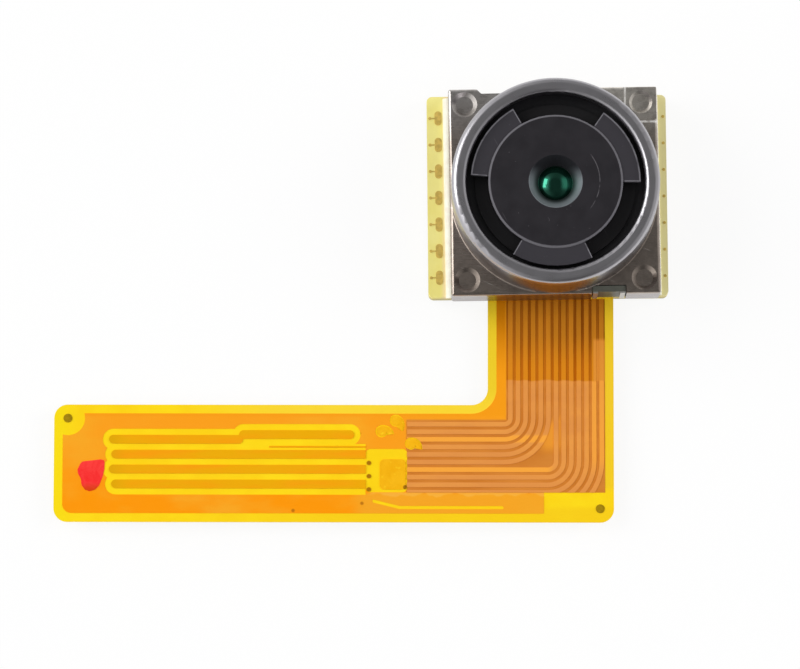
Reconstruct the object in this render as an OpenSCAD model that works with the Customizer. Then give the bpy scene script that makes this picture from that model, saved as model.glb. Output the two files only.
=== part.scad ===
// Autofocus camera module on an L-shaped flexible circuit.
// Origin: on the optical axis, in the plane of the underside. +Z looks out of the lens,
// -Y runs down the neck of the circuit and -X runs along its tail. Millimetres.

/* [Board stack] */
// Width of the board beside the can, on the left
left_margin = 0.9; // [0.9:0.05:1.5]
// Width of the board beside the can, on the right
right_margin = 0.4; // [0.35:0.05:1]
// How far the can stands out over the board's upper edge
top_overhang = 0.05; // [0:0.01:0.1]
// How far the can stands out over the board's lower edge, above the neck
bottom_overhang = 0.13; // [0:0.01:0.14]
// Angle by which the board sits turned on the neck
board_turn = 0.6; // [-1:0.1:1]
// Distance from the board's lower edge to the first copper on the neck
neck_clear = 0.06; // [0.05:0.01:0.1]
// Radius of the board's corners
board_corner_r = 0.22; // [0.1:0.02:0.4]
// Thickness of the steel stiffener under the board
stiffener_t = 0.2; // [0.1:0.05:0.4]
// How far the stiffener stays inside the board's edge
stiffener_inset = 0.2; // [0.1:0.05:0.4]
// Thickness of the rigid layer below the flexible film
lower_board_t = 0.4; // [0.35:0.05:0.8]
// Thickness of the rigid layer above the flexible film
upper_board_t = 0.28; // [0.2:0.02:0.5]

/* [Flexible circuit] */
// Thickness of the film
film_t = 0.12; // [0.08:0.01:0.2]
// Width of the neck that leaves the board
neck_w = 5.13; // [4.9:0.01:5.4]
// Distance from the optical axis to the right edge of the neck
neck_right = 2.45; // [2.4:0.05:2.8]
// Width of the tail
tail_w = 4.8; // [4.7:0.05:5.5]
// Distance from the optical axis down to the lower edge of the tail
tail_drop = 13.35; // [13.2:0.05:14]
// Distance from the optical axis to the left end of the tail
tail_reach = 20.35; // [20:0.05:22]
// Radius of the film's outer corners
film_corner_r = 0.55; // [0.3:0.05:0.8]
// Radius of the fillet where the neck meets the tail
elbow_r = 0.67; // [0.4:0.05:1]
// Width of the clear margin round the copper
copper_margin = 0.36; // [0.25:0.01:0.4]
// Width of the strip of copper below the signal conductors
low_strip_w = 1.22; // [1.1:0.02:1.4]
// Length of the clear patch at the tail's lower right corner
clear_patch_len = 2.85; // [2:0.05:3.5]
// Distance from the film's lower edge to the thin slot in the copper
slot_rise = 0.6; // [0.5:0.01:0.75]
// Width of that slot
slot_w = 0.13; // [0.06:0.01:0.16]
// Length of that slot
slot_len = 4.17; // [3:0.01:4.3]
// Length of the slot's slanting left end
slot_slant_len = 1.1; // [0.6:0.05:1.2]
// Height of the slot's slanting left end
slot_slant_rise = 0.27; // [0.1:0.01:0.3]
// Distance from that slot to the clear patch
slot_gap = 1.7; // [1.5:0.05:2]
// Thickness of the copper pour under its cover film
pour_t = 0.015; // [0.01:0.005:0.03]
// Height of a conductor above the pour
trace_t = 0.02; // [0.01:0.005:0.04]

/* [Signal conductors] */
// Number of conductors in the inner bundle
inner_traces = 6; // [3:1:6]
// Number of conductors in the outer bundle
outer_traces = 7; // [3:1:7]
// Spacing of the conductors
trace_pitch = 0.31; // [0.25:0.01:0.31]
// Width of a conductor
trace_w = 0.19; // [0.12:0.01:0.22]
// Distance from the neck's left edge to the first conductor
first_trace_x = 0.92; // [0.7:0.02:1]
// Distance from the tail's upper edge to the first conductor
first_trace_y = 0.79; // [0.7:0.02:0.9]
// Bend radius of the first conductor of the inner bundle
inner_bend_r = 0.25; // [0.15:0.05:0.4]
// Bend radius of the first conductor of the outer bundle
outer_bend_r = 0.35; // [0.2:0.05:0.6]
// Length of the straight run that the signal conductors have in the tail
signal_run = 8.42; // [7:0.02:8.42]

/* [Power conductors] */
// Distance from the tail's upper edge to the first long conductor
first_power_y = 1.42; // [1.38:0.01:1.5]
// Number of long conductors in the tail
power_traces = 4; // [4:1:4]
// Spacing of the long conductors
power_pitch = 0.61; // [0.55:0.01:0.65]
// Width of a long conductor
power_w = 0.35; // [0.25:0.01:0.4]
// Clear gap beside each long conductor
power_gap = 0.26; // [0.22:0.01:0.3]
// Distance from the tail's left end to the round ends of the long conductors
power_start = 2.42; // [2.3:0.02:2.8]
// Length of the long conductors
power_run = 10.28; // [9.5:0.02:10.3]
// Sideways step of the uppermost long conductor
jog_step = 0.2; // [0.1:0.02:0.24]
// Distance from a long conductor's round end to that step
jog_at = 5.1; // [4:0.1:6]
// How much sooner the uppermost long conductor ends
jog_short = 0.65; // [0.3:0.05:1]
// Distance by which every second round end is set back
power_stagger = 0.1; // [0:0.01:0.2]
// Width of the hairline conductor below the uppermost long one
hairline_w = 0.06; // [0.04:0.01:0.08]
// Distance from the uppermost long conductor down to the hairline
hairline_drop = 0.33; // [0.29:0.01:0.34]
// Distance from the step to the left end of the hairline
hairline_start = 1.25; // [0.8:0.05:2]

/* [Marks and pads] */
// Radius of the two placement dots
fiducial_r = 0.18; // [0.1:0.02:0.25]
// Distance of each placement dot from its two nearest edges
fiducial_inset = 0.56; // [0.5:0.02:0.7]
// Radius of the clear disc round the placement dot at the tail's end
fiducial_clear_r = 0.7; // [0.5:0.05:0.8]
// Width of the red ink mark
ink_w = 1.1; // [0.8:0.05:1.2]
// Distance from the tail's left end to the ink mark
ink_from_end = 1.52; // [1.3:0.02:1.6]
// Distance of the ink mark below the middle of the tail
ink_drop = 0.42; // [0:0.02:0.6]
// Thickness of the ink
ink_t = 0.012; // [0.01:0.002:0.03]
// Number of contact pads along each side of the board
pad_count = 7; // [5:1:7]
// Spacing of the contact pads
pad_pitch = 1.1; // [0.9:0.05:1.15]
// Width of a contact pad
pad_w = 0.28; // [0.2:0.02:0.3]
// Length of a contact pad
pad_len = 0.58; // [0.45:0.02:0.7]
// Distance from the board's left edge to the middle of the pads
pad_inset = 0.46; // [0.42:0.02:0.5]
// Radius of the test dots at the board's edges
test_dot_r = 0.06; // [0.04:0.01:0.08]
// Distance from the board's edge to the test dots
test_dot_inset = 0.12; // [0.1:0.02:0.16]
// Width of the line from a contact pad to its test dot
tick_w = 0.05; // [0.03:0.01:0.08]
// Thickness of the plated pads
pad_t = 0.02; // [0.01:0.01:0.04]
// Distance from the tail's upper edge to the window where the conductors change layers
layer_window_inset = 1.8; // [1.7:0.02:2]
// Radius of that window's corners
layer_window_r = 0.2; // [0.1:0.02:0.3]
// Width of the square pad in that window
layer_pad_w = 1.04; // [0.8:0.02:1.06]
// Height of the square pad in that window
layer_pad_h = 1.23; // [0.8:0.01:1.25]
// Gap between the square pad and the signal conductors
layer_pad_gap = 0.06; // [0.04:0.01:0.1]
// Radius of that pad's corners
layer_pad_r = 0.18; // [0.1:0.02:0.3]
// Radius of a comma-shaped pad's head
comma_r = 0.2; // [0.15:0.01:0.21]
// Angle that a comma-shaped pad's tail sweeps below its head's level
comma_sweep = 10; // [0:2:20]
// Clear gap round a comma-shaped pad
comma_clear = 0.05; // [0.03:0.01:0.08]
// Number of plated vias
via_count = 3; // [1:1:3]
// Radius of a plated via
via_r = 0.08; // [0.06:0.01:0.08]
// Spacing of the plated vias
via_pitch = 0.54; // [0.4:0.02:0.56]
// Distance from the long conductors' ends to the vias
via_gap = 0.13; // [0.12:0.01:0.2]

/* [Shield can] */
// Width of the square can
can_w = 8.5; // [8:0.05:9.5]
// Height of the square part of the can
can_h = 1.61; // [1.55:0.02:2]
// Thickness of the can's sheet metal
can_t = 0.18; // [0.12:0.02:0.2]
// Radius of the can's corners and bent edges
can_edge_r = 0.12; // [0.08:0.02:0.18]
// Angle by which the can sits turned on the board
head_turn = 1; // [-1.5:0.5:1.5]
// Distance from the can's sides to the middle of a corner dimple
dimple_inset_x = 0.66; // [0.64:0.01:0.7]
// Distance from the can's upper and lower edges to the middle of a corner dimple
dimple_inset_y = 0.64; // [0.64:0.01:0.7]
// Radius of a dimple at the surface
dimple_r = 0.53; // [0.4:0.01:0.54]
// Radius of a dimple's flat floor
dimple_floor_r = 0.35; // [0.2:0.01:0.38]
// Depth of a dimple
dimple_depth = 0.14; // [0.06:0.02:0.16]
// Depth of the relief notch in the can's upper edge
relief_depth = 0.2; // [0.1:0.05:0.25]
// Distance from the can's upper left corner to the relief notch
relief_start = 1.15; // [1.1:0.05:1.3]
// Length of the relief notch
relief_len = 2.4; // [1.5:0.1:3]
// Side of the sunk square at the can's upper right corner
corner_step_w = 1.36; // [1.2:0.02:1.4]
// Depth of that sunk square
corner_step = 0.04; // [0.02:0.01:0.06]
// Distance from the can's right side to the middle of the terminal window
window_inset = 2.1; // [2.05:0.05:2.4]
// Width of the terminal window in the can's lower edge
window_w = 1.4; // [1:0.05:1.5]
// Depth of the terminal window in the can's top
window_depth = 0.34; // [0.3:0.02:0.4]

/* [Collar] */
// Distance from the can's sides to the round collar
collar_inset = 0.05; // [0.03:0.01:0.1]
// Height of the collar above the can
collar_h = 2.73; // [2.6:0.01:3.2]
// Radius of the collar's outer shoulder
shoulder_r = 0.25; // [0.18:0.01:0.3]
// Width of the turned-in rim round the collar's opening
lip_w = 0.6; // [0.56:0.01:0.64]
// Depth of the turned-in lip
lip_h = 0.6; // [0.45:0.05:0.65]
// Rounding of the rim's inner edge
rim_edge_r = 0.17; // [0.08:0.01:0.18]
// Fillet at the foot of the collar
foot_fillet_r = 0.06; // [0.04:0.01:0.1]

/* [Lens barrel] */
// Height of the barrel's front above the underside of the module
barrel_front = 5.05; // [5:0.01:5.1]
// Distance from the barrel's front to its rear
barrel_len = 3.1; // [3.05:0.01:3.15]
// Outer radius of the barrel's threaded body
barrel_r = 2.35; // [2.32:0.01:2.38]
// Radius of the barrel's front disc
disc_r = 2.71; // [2.5:0.01:2.75]
// Thickness of the front disc
disc_t = 0.43; // [0.4:0.01:0.5]
// Chamfer round the front disc
disc_chamfer = 0.08; // [0.04:0.01:0.1]
// Number of lugs round the disc
lug_count = 3; // [2:1:4]
// Gap between the lugs and the collar's rim
lug_gap = 0.18; // [0.12:0.01:0.4]
// Angle that each lug spans
lug_span = 55.5; // [40:0.5:60]
// Angle at which the first lug starts
lug_start = -1; // [-30:1:30]
// Depth of the lugs below the disc's face
lug_drop = 0.1; // [0.05:0.01:0.15]
// Thickness of the lugs
lug_t = 0.28; // [0.2:0.01:0.32]
// Radius of the barrel's skirt over the gap round its carrier
skirt_r = 3.24; // [3.1:0.01:3.3]
// Depth of the skirt below the disc's face
skirt_drop = 0.75; // [0.7:0.01:0.76]
// Thickness of the skirt
skirt_t = 0.14; // [0.1:0.01:0.16]
// Outer radius of the conical well
well_r = 1.07; // [0.9:0.01:1.2]
// Depth of the conical well
well_depth = 0.5; // [0.3:0.01:0.55]
// Radius of the aperture at the foot of the well
aperture_r = 0.7; // [0.6:0.01:0.8]
// Thickness of the barrel's front wall
front_wall_t = 0.65; // [0.6:0.01:0.7]

/* [Lens elements] */
// Radius of the first lens element
lens_1_r = 1.25; // [1.2:0.01:1.3]
// Radius of the second lens element
lens_2_r = 1.5; // [1.45:0.01:1.55]
// Radius of the third lens element
lens_3_r = 1.75; // [1.7:0.01:1.8]
// Radius of the fourth lens element
lens_4_r = 1.98; // [1.9:0.01:2]
// Edge thickness of the first lens element
lens_1_t = 0.3; // [0.28:0.01:0.32]
// Edge thickness of the second lens element
lens_2_t = 0.38; // [0.36:0.01:0.4]
// Edge thickness of the third lens element
lens_3_t = 0.42; // [0.4:0.01:0.44]
// Edge thickness of the fourth lens element
lens_4_t = 0.5; // [0.46:0.01:0.52]
// Crown of the first element's front surface, negative where it is hollow
lens_1_front = 0.2; // [0.1:0.01:0.25]
// Crown of the second element's front surface, negative where it is hollow
lens_2_front = 0.02; // [0:0.01:0.03]
// Crown of the third element's front surface, negative where it is hollow
lens_3_front = -0.05; // [-0.08:0.01:0.02]
// Crown of the fourth element's front surface, negative where it is hollow
lens_4_front = -0.12; // [-0.14:0.01:0]
// Crown of the first element's rear surface, negative where it is hollow
lens_1_rear = -0.04; // [-0.06:0.01:0]
// Crown of the second element's rear surface, negative where it is hollow
lens_2_rear = -0.1; // [-0.12:0.01:0]
// Crown of the third element's rear surface, negative where it is hollow
lens_3_rear = 0.1; // [0:0.01:0.12]
// Crown of the fourth element's rear surface, negative where it is hollow
lens_4_rear = -0.15; // [-0.18:0.01:0]
// Part of an element's radius that is curved, for the second to the fourth
clear_part = 0.72; // [0.6:0.01:0.8]
// Gap between the first element's crown and the aperture's wall
crown_clearance = 0.02; // [0.01:0.01:0.04]
// Radius of a washer's opening as a part of its element's radius
stop_part = 0.6; // [0.5:0.01:0.75]
// Thickness of the light-stop washers between the elements
washer_t = 0.04; // [0.02:0.01:0.05]
// Thickness of the ring that holds the elements in
retainer_t = 0.3; // [0.2:0.01:0.35]
// Radius of the retaining ring
retainer_r = 2.1; // [2.04:0.01:2.12]
// Radius of the opening in the retaining ring
retainer_bore_r = 1.55; // [1.4:0.01:1.7]

/* [Focus drive] */
// Travel of the lens towards the subject, from its rear stop
focus_travel = 0.3; // [0.2:0.01:0.3]
// Radial clearance between the barrel and its carrier
thread_clearance = 0.02; // [0.01:0.005:0.03]
// Wall of the lens carrier
carrier_wall = 0.25; // [0.2:0.01:0.26]
// Length of the lens carrier
carrier_len = 2.05; // [2:0.01:2.1]
// Thickness of the carrier's two flanges
carrier_flange_t = 0.15; // [0.1:0.01:0.18]
// How far the carrier's flanges stand out past the winding
flange_lip = 0.03; // [0.01:0.01:0.05]
// Radial thickness of the winding
coil_t = 0.3; // [0.2:0.01:0.32]
// Height of the winding
coil_h = 1.2; // [1:0.05:1.3]
// Gap between the winding and the magnets
magnet_gap = 0.17; // [0.12:0.01:0.2]
// Number of magnets
magnet_count = 4; // [3:1:4]
// Angle at which the first magnet stands
magnet_turn = 45; // [0:5:90]
// Angle that each magnet spans
magnet_span = 72; // [50:1:80]
// Height of the magnets
magnet_h = 1.3; // [1:0.05:1.35]
// Thickness of the leaf springs
spring_t = 0.05; // [0.03:0.01:0.06]
// Width of a spring's rings
spring_ring_w = 0.3; // [0.2:0.01:0.32]
// Width of a spring's arms
spring_arm_w = 0.09; // [0.06:0.01:0.12]
// Number of arms of each spring
spring_arms = 4; // [3:1:4]
// Angle that each spring arm sweeps
spring_sweep = 78; // [50:1:85]
// Clearance round the springs' edges
spring_clearance = 0.02; // [0.01:0.01:0.04]
// Distance from the base's side to the lower spring
spring_margin = 0.3; // [0.25:0.01:0.35]
// Gap between the carrier's flange and the cover ring
cover_gap = 0.06; // [0.04:0.01:0.08]
// Thickness of the cover ring over the upper spring
cover_ring_t = 0.2; // [0.15:0.01:0.3]

/* [Base] */
// Clearance between the base and the inside of the can
base_clearance = 0.02; // [0.01:0.01:0.04]
// Wall of the base
base_wall = 0.3; // [0.25:0.01:0.35]
// Height of the room over the sensor
sensor_room = 0.45; // [0.4:0.01:0.5]
// Thickness of the base's plate
base_plate_t = 0.3; // [0.28:0.01:0.35]
// How far the base's light window is narrower than the sensor, on each side
light_inset_x = 0.5; // [0.45:0.05:0.7]
// How far the light window is lower than the sensor, at top and bottom
light_inset_y = 0.3; // [0.25:0.05:0.5]
// Ledge that the filter rests on, all round the light window
filter_ledge = 0.3; // [0.2:0.01:0.32]
// Thickness of the filter glass
filter_t = 0.21; // [0.15:0.01:0.22]
// Depth of the filter's face below the base's top
filter_sink = 0.04; // [0.02:0.01:0.06]
// Clearance round the filter
filter_clearance = 0.05; // [0.02:0.01:0.08]
// Side of the corner posts
post_w = 0.9; // [0.7:0.05:0.95]
// Width of a terminal strip
terminal_w = 0.2; // [0.15:0.01:0.3]
// Thickness of a terminal strip
terminal_t = 0.06; // [0.04:0.01:0.07]
// Depth of a terminal strip behind the can's face, and its gap to the block
terminal_gap = 0.02; // [0.01:0.01:0.04]
// Distance from the side of the terminal window to a terminal strip
terminal_inset = 0.05; // [0.03:0.01:0.2]
// Depth of the terminals' ends below the can's top
terminal_drop = 0.06; // [0.04:0.01:0.3]
// Radius of the glue bead at the can's left foot
left_bead_r = 0.22; // [0.1:0.01:0.24]
// Radius of the glue bead at the can's right foot
right_bead_r = 0.1; // [0.05:0.01:0.12]

/* [Sensor] */
// Distance from the base's wall to the image sensor, at each side
sensor_margin_x = 0.55; // [0.45:0.01:0.7]
// Distance from the base's wall to the image sensor, at top and bottom
sensor_margin_y = 1.25; // [1.2:0.01:1.4]
// Gap between the sensor and the well in the board
sensor_gap = 0.06; // [0.04:0.01:0.1]
// Number of bond wires on each side
wire_count = 16; // [8:1:20]
// Distance from the sensor's corner to the first bond wire
wire_margin = 0.4; // [0.2:0.01:0.6]
// Radius of the loop of a bond wire
wire_loop_r = 0.2; // [0.16:0.01:0.24]
// Radius of a bond wire
wire_r = 0.02; // [0.012:0.001:0.03]
// Length of a capacitor
capacitor_len = 0.6; // [0.4:0.01:0.62]
// Width and height of a capacitor
capacitor_w = 0.3; // [0.2:0.01:0.32]
// How far a capacitor's body is set back from its end caps
cap_step = 0.02; // [0.01:0.01:0.04]
// Distance from the base's wall to the middle of the outermost capacitor
capacitor_margin = 1.37; // [1:0.01:1.4]
// Number of capacitors
capacitor_count = 6; // [3:1:6]
// Length of the driver chip
driver_len = 1.6; // [1.2:0.05:1.8]
// Width of the driver chip
driver_w = 0.8; // [0.5:0.05:0.85]
// Height of the driver chip
driver_h = 0.32; // [0.2:0.01:0.4]
// Distance of the driver chip from the axis, to the left
driver_offset = 1.2; // [0:0.05:1.4]

/* [Plug connector] */
// Distance from the tail's left end to the middle of the plug
plug_from_end = 7.5; // [6.5:0.05:9]
// Length of the plug's housing
plug_len = 10; // [9.8:0.05:10.6]
// Width of the plug's housing
plug_w = 2.2; // [2.1:0.02:2.6]
// Contacts in each row
contacts_per_row = 22; // [12:1:22]
// Spacing of the contacts
contact_pitch = 0.4; // [0.35:0.01:0.4]
// Width of a contact
contact_w = 0.16; // [0.1:0.01:0.2]
// Thickness of the contact metal
contact_t = 0.06; // [0.04:0.01:0.07]
// How far a contact's tail stands out of the housing
contact_tail = 0.3; // [0.2:0.02:0.4]
// Gap between a contact's end and the floor of the plug's groove
contact_end_gap = 0.04; // [0.02:0.01:0.06]
// Width of the groove in the plug
groove_w = 0.9; // [0.7:0.02:1]
// Depth of the groove in the plug
groove_depth = 0.42; // [0.35:0.01:0.45]
// Height by which the plug's long walls stay above its end walls
wall_setback = 0.1; // [0.08:0.01:0.12]
// Thickness of the plug's end walls
plug_end_t = 0.5; // [0.3:0.05:0.55]
// Width of the solder tabs at the plug's ends
tab_w = 1; // [0.6:0.05:1.4]

/* [Hidden] */
$fn = 64;
eps = 0.01;
// Comma-shaped pads: place from the long conductors' ends and the tail's upper edge in head radii,
// and angle
COMMAS = [[3.2, -5.4, 20], [6.1, -3.2, -25], [9.2, -7.9, 5]];

// Outline of the ink mark in half widths
INK = [
  [-0.8, 0.72], [-0.64, 0.88], [-0.3, 0.92], [0.2, 0.98], [0.7, 1.04], [0.94, 0.98], [1, 0.8],
  [0.98, 0.3], [0.84, -0.3], [0.6, -0.92], [0.28, -1.24], [-0.1, -1.34], [-0.44, -1.22],
  [-0.68, -0.9], [-0.76, -0.4], [-0.98, 0.02], [-1, 0.3]
];

// Plan of the head
can_half = can_w / 2;
collar_r = can_half - collar_inset;
bore_r = collar_r - can_t;
lip_r = collar_r - lip_w;
lug_r = lip_r - lug_gap;
dimple_x = can_half - dimple_inset_x;
dimple_y = can_half - dimple_inset_y;
window_x = can_half - window_inset;
board_left = can_half + left_margin;
board_right = can_half + right_margin;
board_top = can_half - top_overhang;
board_bottom = can_half - bottom_overhang;
neck_top = -board_bottom - neck_clear;

// Heights of the layers
film_z = stiffener_t + lower_board_t;
film_top = film_z + film_t;
pour_top = film_top + pour_t;
board_z = film_top + upper_board_t;
plate_z = board_z + can_h;
plate_under = plate_z - can_t;
rim_z = plate_z + collar_h;

// Plan of the flexible circuit
neck_left = neck_right - neck_w;
tail_top = tail_w - tail_drop;
tail_low = -tail_drop;
tail_left = -tail_reach;
field_right = neck_right - clear_patch_len;
field_low = tail_low + low_strip_w;
slot_right = field_right - slot_gap;
trace_x0 = neck_left + first_trace_x;
trace_y0 = tail_top - first_trace_y;
outer_x0 = trace_x0 + inner_traces * trace_pitch;
outer_y0 = trace_y0 - inner_traces * trace_pitch;
signal_left = neck_right - signal_run;
power_left = tail_left + power_start;
power_right = power_left + power_run;
power_y0 = tail_top - first_power_y;
window_top = tail_top - layer_window_inset;

// Inside of the head
base_half = can_half - can_t - base_clearance;
base_inner = base_half - base_wall;
sensor_w = 2 * (base_inner - sensor_margin_x);
sensor_h = 2 * (base_inner - sensor_margin_y);
light_w = sensor_w - 2 * light_inset_x;
light_h = sensor_h - 2 * light_inset_y;
wire_pitch = (sensor_h - 2 * wire_margin) / (wire_count - 1);
capacitor_pitch = 2 * (base_inner - capacitor_margin) / (capacitor_count - 1);
element_r = [lens_1_r, lens_2_r, lens_3_r, lens_4_r];
element_t = [lens_1_t, lens_2_t, lens_3_t, lens_4_t];
front_crown = [lens_1_front, lens_2_front, lens_3_front, lens_4_front];
rear_crown = [lens_1_rear, lens_2_rear, lens_3_rear, lens_4_rear];
plate_z0 = board_z + sensor_room;
base_top = plate_z0 + base_plate_t;
filter_z = base_top - filter_t - filter_sink;
carrier_z = base_top + spring_t;
carrier_bore = barrel_r + thread_clearance;
carrier_r = carrier_bore + carrier_wall;
flange_r = carrier_r + coil_t + flange_lip;
carrier_top = carrier_z + carrier_len;
coil_z = carrier_top - carrier_flange_t - coil_h;
magnet_r = carrier_r + coil_t + magnet_gap;
magnet_z = carrier_top - magnet_h;
barrel_rear = barrel_front - barrel_len;
stack_z = barrel_front - front_wall_t;
post_top = plate_under - dimple_depth;
plug_x = tail_left + plug_from_end;
plug_y = (tail_top + tail_low) / 2;

// Puts a piece of the head at the angle at which the head sits on the board
module in_head() {
  rotate([0, 0, head_turn]) children();
}

// Puts a piece of the board at the angle at which the board sits on the neck
module on_board() {
  rotate([0, 0, board_turn]) children();
}

// Rectangle between two corners, with round corners
module round_rect(x0, y0, x1, y1, r) {
  translate([x0 + r, y0]) square([x1 - x0 - 2 * r, y1 - y0]);
  translate([x0, y0 + r]) square([x1 - x0, y1 - y0 - 2 * r]);
  for (x = [x0 + r, x1 - r]) {
    for (y = [y0 + r, y1 - r]) {
      translate([x, y]) circle(r);
    }
  }
}

// Upright rectangle whose two upper corners are round
module arch(half, low, high, r) {
  translate([-half, low]) square([2 * half, high - low - r]);
  translate([r - half, low]) square([2 * (half - r), high - low]);
  for (side = [-1, 1]) {
    translate([side * (half - r), high - r]) circle(r);
  }
}

// Box centred on the axis
module centred_box(w, h, low, high) {
  translate([-w / 2, -h / 2, low]) cube([w, h, high - low]);
}

// Flat ring
module ring(inner, outer, low, high) {
  translate([0, 0, low]) linear_extrude(high - low) difference() {
    circle(outer);
    circle(inner);
  }
}

// Wedge from angle a0 to a1, reaching past radius r
module wedge(r, a0, a1) {
  mid = (a0 + a1) / 2;
  reach = 2 * r;
  polygon([
    [0, 0],
    [reach * cos(a0), reach * sin(a0)],
    [reach * cos(mid), reach * sin(mid)],
    [reach * cos(a1), reach * sin(a1)]
  ]);
}

// Part of a flat ring
module ring_sector(inner, outer, a0, a1) {
  intersection() {
    difference() {
      circle(outer);
      circle(inner);
    }
    wedge(outer, a0, a1);
  }
}

// Bar between two points on a line across, with round ends
module bar(x0, x1, y, w) {
  translate([x0, y - w / 2]) square([x1 - x0, w]);
  translate([x0, y]) circle(w / 2);
  translate([x1, y]) circle(w / 2);
}

// ---- Board stack ----

module board_outline(inset) {
  round_rect(inset - board_left, inset - board_bottom, board_right - inset,
             board_top - inset, board_corner_r);
}

module stiffener_plate() {
  color("#b9bcc0") on_board() linear_extrude(stiffener_t) board_outline(stiffener_inset);
}

module lower_board() {
  color("#d9cf8a") on_board() translate([0, 0, stiffener_t]) linear_extrude(lower_board_t)
    board_outline(0);
}

module upper_board() {
  color("#f2e69a") on_board() translate([0, 0, film_top]) linear_extrude(upper_board_t) difference() {
    board_outline(0);
    square([sensor_w + 2 * sensor_gap, sensor_h + 2 * sensor_gap], center = true);
  }
}

// Row of the middles of the contact pads
function pad_y(i) = (i - (pad_count - 1) / 2) * pad_pitch;

module edge_pads() {
  left_x = pad_inset - board_left;
  dot_x = test_dot_inset - board_left;
  right_x = board_right - test_dot_inset;
  color("#b79c4c") on_board() translate([0, 0, board_z]) linear_extrude(pad_t) {
    for (i = [0 : pad_count - 1]) {
      translate([left_x, pad_y(i)])
        round_rect(-pad_w / 2, -pad_len / 2, pad_w / 2, pad_len / 2, pad_w / 2 - eps);
      translate([dot_x, pad_y(i) - tick_w / 2]) square([left_x - dot_x, tick_w]);
      translate([dot_x, pad_y(i)]) circle(test_dot_r);
      translate([right_x, pad_y(i)]) circle(test_dot_r);
    }
  }
}

// ---- Flexible circuit ----

// Neck and tail as one L, drawn in from the film's edge by inset
module arms(inset, top) {
  corner_r = film_corner_r - inset / 2;
  fillet_r = elbow_r + inset;
  round_rect(neck_left + inset, tail_low + inset, neck_right - inset, top, corner_r);
  translate([neck_left + inset, top - corner_r]) square([neck_w - 2 * inset, corner_r]);
  round_rect(tail_left + inset, tail_low + inset, neck_right - inset, tail_top - inset, corner_r);
  difference() {
    translate([neck_left - elbow_r, tail_top - inset]) square(fillet_r);
    translate([neck_left - elbow_r, tail_top + elbow_r]) circle(fillet_r);
  }
}

module flex_film() {
  color("#f5cf2a") translate([0, 0, film_z]) linear_extrude(film_t) {
    on_board() board_outline(0);
    arms(0, 0);
  }
}

// Conductor that comes down the neck and turns into the tail
module bent_trace(x, y, bend_r, left) {
  w = trace_w / 2;
  translate([x - w, y + bend_r]) square([trace_w, neck_top - y - bend_r]);
  translate([left, y - w]) square([x - bend_r - left, trace_w]);
  translate([x - bend_r, y + bend_r]) ring_sector(bend_r - w, bend_r + w, -90, 0);
}

module signal_plan() {
  for (i = [0 : inner_traces - 1]) {
    step = i * trace_pitch;
    bent_trace(trace_x0 + step, trace_y0 - step, inner_bend_r + step, signal_left);
  }
  intersection() {
    for (i = [0 : outer_traces - 1]) {
      step = i * trace_pitch;
      bent_trace(outer_x0 + step, outer_y0 - step, outer_bend_r + step, signal_left);
    }
    translate([signal_left, field_low]) square([signal_run, -field_low]);
  }
}

module signal_traces() {
  color("#e59a4c") translate([0, 0, pour_top]) linear_extrude(trace_t) difference() {
    signal_plan();
    for (i = [0 : len(COMMAS) - 1]) {
      comma_plan(i, comma_clear);
    }
  }
}

function power_y(i) = power_y0 - i * power_pitch;

// Long conductor with a round end, grown by grow on every side
module power_plan(i, grow) {
  w = power_w + 2 * grow;
  start = power_left + (i % 2) * power_stagger;
  jog_x = power_left + jog_at;
  if (i == 0) {
    bar(start, jog_x, power_y(0), w);
    bar(jog_x + jog_step, power_right - jog_short, power_y(0) + jog_step, w);
    polygon([
      [jog_x, power_y(0) - w / 2],
      [jog_x + jog_step, power_y(0) + jog_step - w / 2],
      [jog_x + jog_step, power_y(0) + jog_step + w / 2],
      [jog_x, power_y(0) + w / 2]
    ]);
  } else {
    bar(start, power_right - w, power_y(i), w);
    translate([power_right - w, power_y(i) - w / 2]) square([w, w]);
  }
}

module power_traces() {
  hairline_x = power_left + jog_at + hairline_start;
  color("#dda018") translate([0, 0, film_top]) linear_extrude(pour_t + trace_t) {
    for (i = [0 : power_traces - 1]) {
      power_plan(i, 0);
    }
    translate([hairline_x, power_y(0) - hairline_drop]) square([power_right - hairline_x, hairline_w]);
  }
}

// Clear stretch of film where the conductors change layers
module pad_window() {
  round_rect(power_right - eps, field_low, signal_left + eps, window_top, layer_window_r);
}

// Thin slot in the copper below the signal conductors
module slot() {
  x = slot_right - slot_len;
  y = tail_low + slot_rise;
  bar(x, slot_right, y, slot_w);
  polygon([
    [x, y - slot_w / 2],
    [x, y + slot_w / 2],
    [x - slot_slant_len, y + slot_slant_rise + slot_w / 2],
    [x - slot_slant_len, y + slot_slant_rise - slot_w / 2]
  ]);
}

module copper_pour() {
  color("#fba41c") translate([0, 0, film_top]) linear_extrude(pour_t) difference() {
    arms(copper_margin, neck_top);
    for (i = [0 : power_traces - 1]) {
      power_plan(i, power_gap);
    }
    pad_window();
    translate([tail_left + fiducial_inset, tail_top - fiducial_inset]) circle(fiducial_clear_r);
    translate([field_right, tail_low]) square([neck_right - field_right, field_low - tail_low]);
    slot();
    for (i = [0 : len(COMMAS) - 1]) {
      comma_plan(i, comma_clear);
    }
  }
}

// Comma-shaped pad with index i: a round head with a curved tail, grown by grow
module comma_plan(i, grow) {
  c = COMMAS[i];
  r = comma_r;
  translate([power_right + c[0] * r, tail_top + c[1] * r]) rotate(c[2]) {
    circle(r + grow);
    translate([0, -r]) ring_sector(r - grow, 2 * r + grow, -comma_sweep - 4 * grow * comma_sweep, 90);
  }
}

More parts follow.
